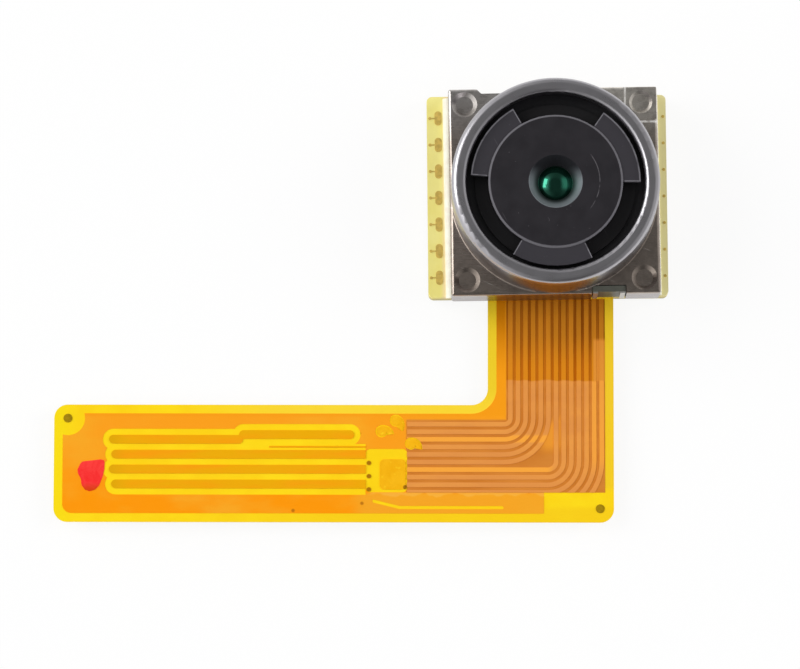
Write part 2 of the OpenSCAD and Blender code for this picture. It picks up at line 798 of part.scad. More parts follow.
module tail_pads() {
  pad_right = signal_left - layer_pad_gap;
  pad_low = field_low + 2 * layer_pad_gap;
  color("#f2b213") translate([0, 0, film_top]) linear_extrude(pour_t + trace_t) {
    round_rect(pad_right - layer_pad_w, pad_low, pad_right, pad_low + layer_pad_h, layer_pad_r);
    for (i = [0 : len(COMMAS) - 1]) {
      comma_plan(i, 0);
    }
    for (i = [0 : via_count - 1]) {
      translate([power_right + via_gap, pad_low + i * via_pitch]) circle(via_r);
    }
  }
}

module fiducials() {
  color("#a88b00") translate([0, 0, film_top]) linear_extrude(pad_t) {
    translate([tail_left + fiducial_inset, tail_top - fiducial_inset]) circle(fiducial_r);
    translate([neck_right - fiducial_inset, tail_low + fiducial_inset]) circle(fiducial_r);
  }
}

module ink_mark() {
  place = [tail_left + ink_from_end, plug_y - ink_drop, pour_top];
  color("#f23a3a") translate(place) linear_extrude(ink_t) scale(ink_w / 2) polygon(INK);
}

// ---- Sensor and small parts on the board ----

module image_sensor() {
  color("#3b4a5c") on_board() centred_box(sensor_w, sensor_h, film_top, board_z);
}

module bond_wires() {
  x = sensor_w / 2 + sensor_gap / 2;
  color("#d8b040") on_board() for (side = [-1, 1]) {
    for (i = [0 : wire_count - 1]) {
      translate([side * x, (i - (wire_count - 1) / 2) * wire_pitch, board_z]) rotate([90, 0, 0])
        rotate_extrude(angle = 180) translate([wire_loop_r, 0]) circle(wire_r);
    }
  }
}

// Room between the sensor's well and the base's wall
margin_y = (sensor_h / 2 + base_inner) / 2;

module capacitor() {
  cap_len = capacitor_len / 5;
  centred_box(capacitor_len, capacitor_w - cap_step, cap_step / 2, capacitor_w - cap_step);
  for (side = [-1, 1]) {
    translate([side * (capacitor_len - cap_len) / 2, 0, 0])
      centred_box(cap_len, capacitor_w, 0, capacitor_w);
  }
}

module capacitors() {
  color("#8c7f6f") on_board() for (i = [0 : capacitor_count - 1]) {
    translate([(i - (capacitor_count - 1) / 2) * capacitor_pitch, margin_y, board_z]) capacitor();
  }
}

module driver_chip() {
  color("#2a2c30") on_board() translate([-driver_offset, -margin_y, 0])
    centred_box(driver_len, driver_w, board_z, board_z + driver_h);
}

// ---- Head: base, drive and can ----

module base_holder() {
  bay = filter_ledge + filter_clearance;
  post = base_half - post_w / 2;
  color("#26262a") in_head() {
    difference() {
      union() {
        centred_box(2 * base_half, 2 * base_half, board_z, base_top);
        for (x = [-post, post]) {
          for (y = [-post, post]) {
            translate([x, y, 0]) centred_box(post_w, post_w, board_z, post_top);
          }
        }
      }
      centred_box(2 * base_inner, 2 * base_inner, board_z - eps, plate_z0);
      centred_box(light_w, light_h, board_z, base_top + eps);
      centred_box(light_w + 2 * bay, light_h + 2 * bay, filter_z, base_top + eps);
      translate([0, 0, board_z - eps]) linear_extrude(can_h) relief_plan(can_t + base_clearance);
    }
    // Block that carries the terminals and fills the can's window
    translate([window_x - window_w / 2 + base_clearance, terminal_t + terminal_gap - can_half, board_z])
      cube([
        window_w - 2 * base_clearance,
        window_depth - terminal_t - 2 * terminal_gap,
        plate_z - terminal_drop - board_z
      ]);
  }
}

module ir_filter() {
  w = light_w + 2 * filter_ledge;
  h = light_h + 2 * filter_ledge;
  color([0.55, 0.75, 0.72, 0.6]) in_head() centred_box(w, h, filter_z, filter_z + filter_t);
}

// Leaf spring: two rings joined by curved arms
module leaf_spring(inner, outer, low) {
  arm_r = (inner + outer) / 2;
  half = spring_arm_w / 2;
  translate([0, 0, low]) linear_extrude(spring_t) {
    difference() {
      circle(inner + spring_ring_w);
      circle(inner);
    }
    difference() {
      circle(outer);
      circle(outer - spring_ring_w);
    }
    for (i = [0 : spring_arms - 1]) {
      rotate(i * 360 / spring_arms) {
        ring_sector(arm_r - half, arm_r + half, 0, spring_sweep);
        translate([inner + spring_ring_w / 2, 0])
          square([arm_r - inner - spring_ring_w / 2, spring_arm_w]);
        rotate(spring_sweep) translate([arm_r, -spring_arm_w])
          square([outer - spring_ring_w / 2 - arm_r, spring_arm_w]);
      }
    }
  }
}

module lower_spring() {
  color("#c79a55") in_head()
    leaf_spring(carrier_bore + spring_clearance, base_half - spring_margin, base_top);
}

module upper_spring() {
  color("#c79a55") in_head()
    leaf_spring(carrier_bore + spring_clearance, bore_r - spring_clearance, carrier_top);
}

module magnets() {
  color("#8f9296") in_head() translate([0, 0, magnet_z]) linear_extrude(magnet_h)
    for (i = [0 : magnet_count - 1]) {
      a = magnet_turn + i * 360 / magnet_count;
      ring_sector(magnet_r, bore_r, a - magnet_span / 2, a + magnet_span / 2);
    }
}

module cover_ring() {
  low = carrier_top + spring_t;
  color("#1c1c1f") in_head() ring(flange_r + cover_gap, bore_r, low, low + cover_ring_t);
}

// Section of the collar: wall, rounded shoulder, rim and turned-in lip
module collar_section() {
  lip_low = rim_z - lip_h;
  difference() {
    union() {
      translate([lip_r, plate_under]) square([collar_r - lip_r, rim_z - shoulder_r - plate_under]);
      translate([lip_r, plate_under])
        square([collar_r - shoulder_r - lip_r, rim_z - rim_edge_r - plate_under]);
      translate([lip_r + rim_edge_r, plate_under])
        square([collar_r - shoulder_r - lip_r - rim_edge_r, rim_z - plate_under]);
      translate([collar_r - shoulder_r, rim_z - shoulder_r]) circle(shoulder_r);
      translate([lip_r + rim_edge_r, rim_z - rim_edge_r]) circle(rim_edge_r);
    }
    translate([lip_r - eps, plate_under - eps])
      square([bore_r - lip_r + eps, lip_low - plate_under + eps]);
    translate([lip_r + can_t, plate_under])
      square([bore_r - lip_r - can_t, rim_z - can_t - plate_under]);
  }
}

// Relief in the can's upper edge with a sloped end, grown by grow for what lies inside it
module relief_plan(grow) {
  x0 = relief_start - can_half - grow;
  x1 = relief_start - can_half + relief_len + grow;
  y0 = can_half - relief_depth - grow;
  polygon([
    [x0, can_half + eps],
    [x0, can_half],
    [x0 + relief_depth, y0],
    [x1, y0],
    [x1, can_half + eps]
  ]);
}

// Plan of the can, drawn in from its outside by inset
module can_plan(inset, r) {
  half = can_half - inset;
  difference() {
    round_rect(-half, -half, half, half, r);
    relief_plan(inset);
  }
}

module can_block(inset, low, high, r) {
  half = can_half - inset;
  reach = 4 * half;
  intersection() {
    translate([0, 0, low]) linear_extrude(high - low) can_plan(inset, r);
    translate([0, reach / 2, 0]) rotate([90, 0, 0]) linear_extrude(reach) arch(half, low, high, r);
    rotate([90, 0, 90]) translate([0, 0, -reach / 2]) linear_extrude(reach) arch(half, low, high, r);
  }
}

module shield_can() {
  dimples = [for (x = [-1, 1]) for (y = [-1, 1]) [x * dimple_x, y * dimple_y, 0]];
  color("#8a8177") in_head() difference() {
    union() {
      difference() {
        can_block(0, board_z, plate_z, can_edge_r);
        can_block(can_t, board_z - eps, plate_under, can_edge_r / 2);
        translate([can_half - corner_step_w, can_half - corner_step_w, plate_z - corner_step])
          cube([corner_step_w + eps, corner_step_w + eps, corner_step + eps]);
      }
      rotate_extrude() collar_section();
      for (p = dimples) {
        translate([p[0], p[1], plate_under - dimple_depth])
          cylinder(h = dimple_depth + eps, r = dimple_r);
      }
      // Fillet at the collar's foot, kept on the flat of the can
      intersection() {
        rotate_extrude() difference() {
          translate([collar_r - eps, plate_z - eps]) square(foot_fillet_r + eps);
          translate([collar_r + foot_fillet_r, plate_z + foot_fillet_r]) circle(foot_fillet_r);
        }
        centred_box(2 * (can_half - can_edge_r), 2 * (can_half - can_edge_r), board_z, rim_z);
      }
    }
    translate([0, 0, plate_under - eps]) cylinder(h = can_t + 2 * eps, r = bore_r);
    for (p = dimples) {
      translate([p[0], p[1], plate_z - dimple_depth])
        cylinder(h = dimple_depth + eps, r1 = dimple_floor_r, r2 = dimple_r);
    }
    translate([window_x - window_w / 2, -can_half - eps, board_z - eps])
      cube([window_w, window_depth + eps, can_h + 2 * eps]);
  }
}

module glue_bead(r, side) {
  run = 2 * (can_half - can_edge_r);
  difference() {
    translate([side * can_half, -run / 2, board_z]) rotate([-90, 0, 0]) cylinder(h = run, r = r);
    translate([-can_half, -can_half, board_z - 2 * r]) cube([can_w, can_w, 4 * r]);
    translate([-can_w, -can_w, board_z - 2 * r]) cube([2 * can_w, 2 * can_w, 2 * r]);
  }
}

module glue_beads() {
  color("#e4ddd0") in_head() {
    glue_bead(left_bead_r, -1);
    glue_bead(right_bead_r, 1);
  }
}

module terminals() {
  color("#cfcac0") in_head() for (side = [-1, 1]) {
    x = window_x + side * (window_w / 2 - terminal_w / 2 - terminal_inset) - terminal_w / 2;
    translate([x, terminal_gap - can_half, board_z])
      cube([terminal_w, terminal_t, plate_z - terminal_drop - board_z]);
  }
}

// ---- Lens carriage ----

module lens_carrier() {
  color("#2b2b2f") in_head() {
    ring(carrier_bore, carrier_r, carrier_z, carrier_top);
    ring(carrier_bore, flange_r, carrier_top - carrier_flange_t, carrier_top);
    ring(carrier_bore, flange_r, coil_z - carrier_flange_t, coil_z);
  }
}

module voice_coil() {
  color("#b8662e") in_head() ring(carrier_r, carrier_r + coil_t, coil_z, coil_z + coil_h);
}

// Top of the element with index i, counted from the front
function element_top(i) = i == 0 ? stack_z : element_top(i - 1) - element_t[i - 1] - washer_t;

// Room that the elements, washers and retaining ring fill
module barrel_bore() {
  translate([0, 0, stack_z - eps]) cylinder(h = front_wall_t + 2 * eps, r = aperture_r);
  slope = (well_r - aperture_r) / well_depth;
  translate([0, 0, barrel_front - well_depth])
    cylinder(h = well_depth + eps, r1 = aperture_r, r2 = well_r + eps * slope);
  for (i = [0 : 3]) {
    low = element_top(i) - element_t[i] - eps;
    top = i == 0 ? stack_z : element_top(i) + washer_t;
    translate([0, 0, low]) cylinder(h = top - low, r = element_r[i]);
  }
  translate([0, 0, barrel_rear - eps])
    cylinder(h = element_top(3) - element_t[3] - barrel_rear + eps, r = retainer_r);
}

module lens_barrel() {
  lug_top = barrel_front - lug_drop;
  color("#2f2d31") in_head() difference() {
    union() {
      translate([0, 0, barrel_rear]) cylinder(h = barrel_len - disc_chamfer, r = barrel_r);
      translate([0, 0, barrel_front - disc_t]) cylinder(h = disc_t - disc_chamfer, r = disc_r);
      translate([0, 0, barrel_front - disc_chamfer])
        cylinder(h = disc_chamfer, r1 = disc_r, r2 = disc_r - disc_chamfer);
      translate([0, 0, barrel_front - skirt_drop - skirt_t]) cylinder(h = skirt_t, r = skirt_r);
      translate([0, 0, lug_top - lug_t]) linear_extrude(lug_t) for (i = [0 : lug_count - 1]) {
        a = lug_start + i * 360 / lug_count;
        ring_sector(barrel_r, lug_r, a, a + lug_span);
      }
    }
    barrel_bore();
  }
}

// Lens element with a flat edge and two curved faces
module lens_element(i) {
  top = element_top(i);
  low = top - element_t[i];
  clear_r = i == 0 ? aperture_r - crown_clearance : element_r[i] * clear_part;
  n = 10;
  color([0.62, 0.8, 0.74, 0.55]) in_head() rotate_extrude() polygon(concat(
    [for (k = [0 : n]) [clear_r * k / n, top + front_crown[i] * (1 - pow(k / n, 2))]],
    [[element_r[i], top], [element_r[i], low]],
    [for (k = [n : -1 : 0]) [clear_r * k / n, low - rear_crown[i] * (1 - pow(k / n, 2))]]
  ));
}

module lens_1() { lens_element(0); }

module lens_2() { lens_element(1); }

module lens_3() { lens_element(2); }

module lens_4() { lens_element(3); }

module light_stops() {
  color("#141416") in_head() for (i = [1 : 3]) {
    ring(element_r[i] * stop_part, element_r[i], element_top(i), element_top(i) + washer_t);
  }
}

module retaining_ring() {
  top = element_top(3) - element_t[3];
  color("#1a1a1d") in_head() ring(retainer_bore_r, retainer_r, top - retainer_t, top);
}

// ---- Plug connector ----

module plug_housing() {
  groove_len = plug_len - 2 * plug_end_t;
  color("#2c2a26") translate([plug_x, plug_y, 0]) difference() {
    centred_box(plug_len, plug_w, 0, film_z);
    centred_box(groove_len, plug_w + 2 * eps, -eps, wall_setback);
    centred_box(groove_len, groove_w, -eps, groove_depth);
  }
}

// Outline of one contact, wrapped round the plug's long wall
module contact_outline() {
  out = plug_w / 2;
  in = groove_w / 2;
  foot = wall_setback;
  t = contact_t;
  polygon([
    [out + contact_tail, film_z],
    [out + contact_tail, film_z - t],
    [out + t, film_z - t],
    [out + t, foot - t],
    [in - t, foot - t],
    [in - t, groove_depth - contact_end_gap],
    [in, groove_depth - contact_end_gap],
    [in, foot],
    [out, foot],
    [out, film_z]
  ]);
}

module plug_contacts() {
  color("#d9b659") translate([plug_x, plug_y, 0]) for (side = [0, 1]) {
    for (i = [0 : contacts_per_row - 1]) {
      x = (i - (contacts_per_row - 1) / 2) * contact_pitch;
      rotate([0, 0, 180 * side]) translate([x - contact_w / 2, 0, 0]) rotate([90, 0, 90])
        linear_extrude(contact_w) contact_outline();
    }
  }
}

module plug_tabs() {
  t = contact_t;
  color("#cfcac0") translate([plug_x, plug_y, 0]) for (side = [0, 1]) {
    rotate([0, 0, 180 * side]) translate([plug_len / 2, -tab_w / 2, 0]) {
      translate([0, 0, wall_setback]) cube([t, tab_w, film_z - wall_setback]);
      translate([0, 0, film_z - t]) cube([contact_tail + t, tab_w, t]);
    }
  }
}

stiffener_plate();
lower_board();
flex_film();
copper_pour();
signal_traces();
power_traces();
tail_pads();
fiducials();
ink_mark();
upper_board();
edge_pads();
image_sensor();
bond_wires();
capacitors();
driver_chip();
base_holder();
ir_filter();
lower_spring();
magnets();
upper_spring();
cover_ring();
shield_can();
glue_beads();
terminals();
lens_carrier();
voice_coil();
lens_barrel();
lens_1();
lens_2();
lens_3();
lens_4();
light_stops();
retaining_ring();
plug_housing();
plug_contacts();
plug_tabs();
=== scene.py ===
import math

import bpy
from mathutils import Matrix, Vector


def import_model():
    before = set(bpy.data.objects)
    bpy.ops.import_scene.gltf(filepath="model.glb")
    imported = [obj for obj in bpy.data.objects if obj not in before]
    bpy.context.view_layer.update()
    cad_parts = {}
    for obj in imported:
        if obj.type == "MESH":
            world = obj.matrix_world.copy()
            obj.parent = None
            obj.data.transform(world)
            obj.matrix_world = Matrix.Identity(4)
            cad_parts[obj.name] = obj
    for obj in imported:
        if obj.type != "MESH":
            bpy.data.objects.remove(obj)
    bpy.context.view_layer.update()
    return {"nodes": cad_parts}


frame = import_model()
nodes = frame["nodes"]
scene = bpy.context.scene
scene.view_settings.view_transform = "Standard"

# Lengths are in millimetres unless a name says otherwise. The lens axis is x = y = 0, the neck runs
# towards -y, the tail from there towards -x, and the part lies on z = 0.
MM = 0.001

# Circuit
FIELD_LEFT, FIELD_LOW, FIELD_TOP = -6.0, -12.15, -9.15  # copper under the signal conductors
NECK_FIELD_LEFT = -1.94
STIFFENER_EDGE = -7.54  # across the neck
STRAP_LEFT, STRAP_TOP = 1.63, -5.85  # plain patch at the neck's right side
TRIANGLE_X, TRIANGLE_Y = (-0.5, 0.3), (-10.4, -9.0)  # copper between the two bundles
BRIGHT_ROWS = ((-10.08, -9.78), (-11.4, -11.05))
VIAS = [(-7.52, -12.01), (-7.52, -11.47), (-7.52, -10.93), (-6.04, -11.92)]
VIA_R = 0.09
PIN_HOLES = [(-7.80, -12.58), (-10.60, -12.88)]
PIN_HOLE_R = 0.07
NICK, NICK_R = (-8.0, -9.62), 0.2
NICK_LINE = (-17.7, -17.54)  # x + y across the nick

# Head
CAN_LEFT, CAN_MIDDLE, CAN_RIGHT = -4.52, 0.1, 4.25
PLATE_Z = 2.45
COLLAR_R, COLLAR_FOOT_Z = 4.245, 2.67
SEAM_X, SEAM_Y = (2.84, 2.92), (2.82, 2.9)  # folds of the upper right corner's square
DISC_EDGE_R = (2.63, 2.72)
LUG_FOOT_R, LUG_EDGE_R = 2.74, (3.36, 3.46)
LUG_COUNT, LUG_START, LUG_SPAN = 3, 0.0, 55.5
LUG_EDGE = 0.035
ARC_R = (1.76, 1.79)  # scratch on the disc
WELL_R = 1.075

# Specular levels
FILM_GLOSS = 0.12
BOARD_GLOSS = 0.25
BLACK_GLOSS = 0.35


# ---------------------------------------------------------------- helpers
def lin(r, g, b):
    """Scene-linear colour with alpha from sRGB 0-255."""
    out = []
    for v in (r, g, b):
        v = v / 255.0
        out.append(v / 12.92 if v <= 0.04045 else ((v + 0.055) / 1.055) ** 2.4)
    return (*out, 1.0)


class Mat:
    """Node material. A socket, a number or an sRGB 0-255 triple can stand for any value."""

    def __init__(self, name):
        self.mat = bpy.data.materials.new(name)
        self.mat.use_nodes = True
        self.nt = self.mat.node_tree
        self.nt.nodes.clear()
        self.out = self.node("ShaderNodeOutputMaterial")
        self.bsdf = self.node("ShaderNodeBsdfPrincipled")
        self.link(self.bsdf.outputs[0], self.out.inputs[0])
        self.place = None

    def node(self, kind, **kw):
        n = self.nt.nodes.new(kind)
        for k, v in kw.items():
            setattr(n, k, v)
        return n

    def link(self, a, b):
        self.nt.links.new(a, b)

    def put(self, sock, v):
        if isinstance(v, bpy.types.NodeSocket):
            self.link(v, sock)
        elif isinstance(v, tuple) and len(v) == 3:
            sock.default_value = lin(*v)
        else:
            sock.default_value = v

    def pos(self):
        """Place on the part at rest."""
        if self.place is None:
            tc = self.node("ShaderNodeTexCoord")
            sc = self.node("ShaderNodeVectorMath", operation="SCALE")
            sc.inputs["Scale"].default_value = 1.0 / MM
            self.link(tc.outputs["Object"], sc.inputs[0])
            self.place = sc.outputs[0]
            sep = self.node("ShaderNodeSeparateXYZ")
            self.link(self.place, sep.inputs[0])
            self.xyz = sep.outputs
        return self.place

    def x(self):
        self.pos()
        return self.xyz[0]

    def y(self):
        self.pos()
        return self.xyz[1]

    def z(self):
        self.pos()
        return self.xyz[2]

    def m(self, op, *values):
        n = self.node("ShaderNodeMath", operation=op)
        for sock, v in zip(n.inputs, values):
            self.put(sock, v)
        return n.outputs[0]

    def fold(self, op, values):
        total = values[0]
        for v in values[1:]:
            total = self.m(op, total, v)
        return total

    def mul(self, *values):
        return self.fold("MULTIPLY", values)

    def add(self, *values):
        return self.fold("ADD", values)

    def peak(self, *values):
        return self.fold("MAXIMUM", values)

    def sub(self, a, b):
        return self.m("SUBTRACT", a, b)

    def hypot(self, a, b):
        return self.m("SQRT", self.add(self.mul(a, a), self.mul(b, b)))

    def radius(self):
        """Distance from the lens axis."""
        return self.hypot(self.x(), self.y())

    def span(self, kind, v, lo, hi, a, b):
        n = self.node("ShaderNodeMapRange", interpolation_type=kind)
        keys = ("Value", "From Min", "From Max", "To Min", "To Max")
        for key, value in zip(keys, (v, lo, hi, a, b)):
            self.put(n.inputs[key], value)
        return n.outputs[0]

    def ramp(self, v, lo, hi, a=0.0, b=1.0):
        """Smooth step of v from lo to hi, giving a to b."""
        return self.span("SMOOTHSTEP", v, lo, hi, a, b)

    def line(self, v, lo, hi, a=0.0, b=1.0):
        """Straight map of v from lo to hi onto a to b."""
        return self.span("LINEAR", v, lo, hi, a, b)

    def above(self, v, at, soft=0.05):
        """1 where v is past at."""
        return self.ramp(v, at - soft, at + soft)

    def below(self, v, at, soft=0.05):
        """1 where v is short of at."""
        return self.ramp(v, at - soft, at + soft, 1.0, 0.0)

    def band(self, v, lo, hi, soft=0.05):
        """1 between lo and hi."""
        return self.mul(self.above(v, lo, soft), self.below(v, hi, soft))

    def dot(self, at, r, soft=0.03):
        """1 inside a round spot."""
        return self.below(self.hypot(self.sub(self.x(), at[0]), self.sub(self.y(), at[1])), r, soft)

    def spoke(self, turn, half):
        """1 on a straight line out from the lens axis, at an angle in degrees."""
        ca, sa = math.cos(math.radians(turn)), math.sin(math.radians(turn))
        along = self.add(self.mul(self.x(), ca), self.mul(self.y(), sa))
        across = self.m("ABSOLUTE", self.sub(self.mul(self.y(), ca), self.mul(self.x(), sa)))
        thin = self.ramp(across, half - 0.01, half + 0.02, 1.0, 0.0)
        return self.mul(self.ramp(along, 0.0, 0.1), thin)

    def mapping(self, vector, **values):
        n = self.node("ShaderNodeMapping")
        for key, value in values.items():
            n.inputs[key].default_value = value
        self.link(vector, n.inputs["Vector"])
        return n.outputs[0]

    def noise(self, scale, detail=3.0, rough=0.5, stretch=(1, 1, 1), dist=0.0, vector=None):
        n = self.node("ShaderNodeTexNoise")
        n.inputs["Scale"].default_value = scale
        n.inputs["Detail"].default_value = detail
        n.inputs["Roughness"].default_value = rough
        n.inputs["Distortion"].default_value = dist
        self.link(self.mapping(vector or self.pos(), Scale=stretch), n.inputs["Vector"])
        return n.outputs["Fac"]

    def patches(self, lo, hi, *noise, **kw):
        """Noise as soft patches between 0 and 1."""
        return self.ramp(self.noise(*noise, **kw), lo, hi)

    def scratches(self, turn, scale, cut, offset):
        """Fine straight scratches along one direction: 1 on a scratch."""
        turned = self.mapping(self.pos(), Rotation=(0, 0, math.radians(turn)),
                              Location=(offset, offset * 0.7, 0))
        n = self.noise(scale, 2.0, 0.5, (0.35, 9.0, 1.0), vector=turned)
        return self.ramp(n, cut, cut + 0.04)

    def mix(self, fac, a, b):
        n = self.node("ShaderNodeMix", data_type="RGBA")
        self.put(n.inputs[0], fac)
        self.put(n.inputs[6], a)
        self.put(n.inputs[7], b)
        return n.outputs[2]

    def base(self, v):
        self.put(self.bsdf.inputs["Base Color"], v)

    def metal(self, v):
        self.put(self.bsdf.inputs["Metallic"], v)

    def rough(self, v):
        self.put(self.bsdf.inputs["Roughness"], v)

    def rough_noise(self, scale, detail, lo, hi):
        """Roughness that drifts between lo and hi."""
        self.rough(self.line(self.noise(scale, detail), 0.2, 0.8, lo, hi))

    def bump(self, height, strength, distance):
        n = self.node("ShaderNodeBump")
        n.inputs["Strength"].default_value = strength
        n.inputs["Distance"].default_value = distance * MM
        self.put(n.inputs["Height"], height)
        self.link(n.outputs[0], self.bsdf.inputs["Normal"])

    def set(self, **kw):
        for k, v in kw.items():
            self.bsdf.inputs[k.replace("_", " ")].default_value = v


def dress(node, mat):
    """Gives a CAD node its material."""
    slots = nodes[node].data.materials
    slots.clear()
    slots.append(mat.mat)


def speckle(name, rgb, rough, metal, scale, spread=0.12, bump=0.15, grain=(1, 1, 1), **kw):
    """General material: the colour and the roughness drift, under a fine bump."""
    m = Mat(name)
    c = lin(*rgb)[:3]
    dark = (*(v * (1 - spread) for v in c), 1)
    light = (*(min(1, v * (1 + spread)) for v in c), 1)
    m.base(m.mix(m.patches(0.3, 0.7, scale, 4, 0.55, grain), dark, light))
    drift = m.noise(scale * 2.3, 3, 0.5, grain)
    m.rough(m.line(drift, 0.2, 0.8, rough - 0.08, rough + 0.08))
    m.bump(m.noise(40.0, 3, 0.6, grain), bump, 0.01)
    m.set(Metallic=metal, **kw)
    return m


# ---------------------------------------------------------------- flexible circuit
def under_film(m, rough=(0.3, 0.44), wave=1.3, strength=0.3):
    """Finish of everything below the clear cover film: a soft, slightly wavy gloss."""
    m.rough_noise(2.2, 3, *rough)
    m.set(IOR=1.5, Specular_IOR_Level=FILM_GLOSS)
    m.bump(m.m("MULTIPLY_ADD", m.noise(9.0, 3, 0.6), 0.25, m.noise(wave)), strength, 0.05)
    return m


def with_vias(m, c):
    """Brown plated holes at the window's side."""
    for at in VIAS:
        c = m.mix(m.mul(m.dot(at, VIA_R), 0.85), c, (150, 92, 8))
    return c


def make_film():
    """Bare yellow film: warmer inside the outline, greener at the far left, paler up the neck."""
    m = Mat("cover_film")
    c = m.mix(m.patches(0.3, 0.7, 0.9), (253, 212, 20), (255, 221, 24))
    c = m.mix(m.ramp(m.x(), -20.2, -19.4, 0.6, 0.0), c, (248, 226, 18))
    top = m.mul(m.ramp(m.y(), -9.0, -8.9), m.ramp(m.x(), -16.0, -10.0))
    c = m.mix(m.mul(top, 0.7), c, (250, 216, 60))
    low = m.mul(m.ramp(m.y(), -12.6, -12.9), m.ramp(m.x(), -16.0, -8.0))
    c = m.mix(m.mul(low, 0.7), c, (248, 204, 24))
    left = m.mul(m.band(m.y(), -8.2, -3.0, 0.4), m.ramp(m.x(), -2.0, -1.5, 1.0, 0.0))
    c = m.mix(m.mul(left, 0.8), c, (240, 206, 40))
    right = m.mul(m.ramp(m.x(), 1.7, 2.0), m.ramp(m.y(), -12.2, -11.8))
    c = m.mix(m.mul(right, 0.8), c, (244, 202, 40))
    m.base(with_vias(m, c))
    return under_film(m, (0.26, 0.4), 1.1, 0.25)


def in_signal_field(m):
    """1 where the signal conductors run, over the tail's right part and up the neck."""
    inside = m.mul(m.above(m.x(), FIELD_LEFT), m.above(m.y(), FIELD_LOW))
    return m.mul(inside, m.peak(m.below(m.y(), FIELD_TOP), m.above(m.x(), NECK_FIELD_LEFT, 0.04)))


def neck_painted_shade(m, foot, middle, head):
    """Colour up the neck, with painted light: a paler foot below the stiffener's edge is painted
    sheen, and above it painted shade of the can darkens the neck towards the head.
    """
    c = m.mix(m.ramp(m.y(), -7.2, -5.4), middle, head)
    streak = m.patches(0.35, 0.65, 2.6, 2, 0.5, (1, 0.05, 1))
    c = m.mix(m.mul(streak, 0.3), c, (226, 140, 34))
    strap = m.mul(m.above(m.x(), STRAP_LEFT, 0.03), m.below(m.y(), STRAP_TOP, 0.1))
    c = m.mix(m.mul(strap, 0.85), c, (232, 150, 56))
    wavy_y = m.m("MULTIPLY_ADD", m.noise(1.1, 2, 0.5, (1, 0.1, 1)), 0.3, m.sub(m.y(), 0.15))
    return m.mix(m.above(wavy_y, STIFFENER_EDGE, 0.04), foot, c)


def make_pour():
    """Copper under the film: plain in the tail, and the dark gaps between the conductors."""
    m = Mat("covered_copper")
    c = m.mix(m.ramp(m.y(), -12.3, -10.4), (254, 152, 2), (252, 160, 26))
    c = m.mix(m.patches(0.4, 0.72, 0.7, 3, 0.5, (0.5, 1.2, 1)), c, (250, 168, 34))
    strip = m.mul(m.ramp(m.x(), -8.4, -7.6), m.ramp(m.y(), -12.1, -12.25))
    c = m.mix(m.mul(strip, 0.85), c, (246, 168, 38))
    foot = m.mix(m.patches(0.3, 0.7, 1.2, 3, 0.5, (0.4, 1, 1)), (206, 124, 44), (216, 136, 54))
    # up the neck the signal field carries painted shade of the can, with a paler painted sheen below
    # the stiffener's edge
    c = m.mix(in_signal_field(m), c, neck_painted_shade(m, foot, (186, 98, 0), (140, 72, 0)))
    # painted shade of the can: the copper beside the neck darkens towards the head
    beside = m.mul(m.ramp(m.x(), -2.0, -1.9, 1.0, 0.0), m.ramp(m.y(), -9.1, -8.9))
    c = m.mix(beside, c, m.mix(m.ramp(m.y(), -7.6, -4.8), (250, 158, 20), (206, 124, 0)))
    # pale copper between the two bundles
    wedge = m.mul(m.band(m.x(), *TRIANGLE_X, 0.3), m.band(m.y(), *TRIANGLE_Y, 0.3))
    wedge = m.mul(wedge, m.ramp(m.sub(m.x(), m.y()), 8.9, 9.4))
    c = m.mix(m.mul(wedge, 0.8), c, (244, 158, 48))
    # wavy pale border under the field
    sway = m.m("MULTIPLY_ADD", m.noise(1.6, 2, 0.5, (1, 0.1, 1)), 0.5, -12.5)
    border = m.mul(m.ramp(m.sub(m.y(), sway), -0.04, 0.04), m.ramp(m.y(), -12.16, -12.12, 1.0, 0.0))
    border = m.mul(border, m.ramp(m.x(), -7.6, -7.3))
    c = m.mix(m.mul(border, 0.7), c, (250, 182, 66))
    for at in PIN_HOLES:
        c = m.mix(m.mul(m.dot(at, PIN_HOLE_R), 0.75), c, (168, 96, 10))
    nick = m.mul(m.dot(NICK, NICK_R), m.band(m.add(m.x(), m.y()), *NICK_LINE))
    c = m.mix(m.mul(nick, 0.6), c, (196, 116, 10))
    m.base(with_vias(m, c))
    return under_film(m)


def make_traces():
    """Covered signal conductors; a few of them lie brighter than the rest."""
    m = Mat("covered_traces")
    foot = m.mix(m.patches(0.3, 0.7, 0.7, 3, 0.5, (0.5, 1.5, 1)), (226, 146, 72), (236, 156, 72))
    tail = m.mul(m.ramp(m.x(), 0.1, -0.3), m.ramp(m.y(), -9.5, -9.9))
    bright = m.peak(*(m.band(m.y(), *row, 0.06) for row in BRIGHT_ROWS))
    foot = m.mix(m.mul(tail, bright), foot, (250, 168, 62))
    right = m.mul(m.ramp(m.y(), -11.6, -10.6), m.ramp(m.x(), 1.2, 1.7))
    foot = m.mix(m.mul(right, 0.7), foot, (252, 168, 58))
    # the traces up the neck carry the same painted shade of the can and painted sheen at the foot
    m.base(neck_painted_shade(m, foot, (222, 136, 22), (190, 118, 24)))
    return under_film(m, wave=2.0, strength=0.25)


def make_power():
    m = Mat("covered_power")
    c = m.mix(m.patches(0.35, 0.65, 0.6, 3, 0.5, (0.4, 2.0, 1)), (238, 172, 2), (250, 158, 8))
    m.base(m.mix(m.ramp(m.x(), -18.3, -17.2, 0.75, 0.0), c, (216, 166, 0)))
    return under_film(m, wave=1.6, strength=0.25)


def make_pads():
    m = Mat("covered_pads")
    c = m.mix(m.patches(0.35, 0.65, 1.8, 4, 0.6, dist=0.6), (250, 186, 20), (244, 176, 8))
    m.base(with_vias(m, m.mix(m.patches(0.6, 0.75, 5.0, 2), c, (255, 204, 30))))
    return under_film(m, (0.28, 0.44), 3.2, 0.5)


def make_fiducials():
    m = Mat("dark_copper")
    m.base(m.mix(m.patches(0.3, 0.7, 9), (150, 120, 6), (170, 136, 14)))
    return under_film(m)


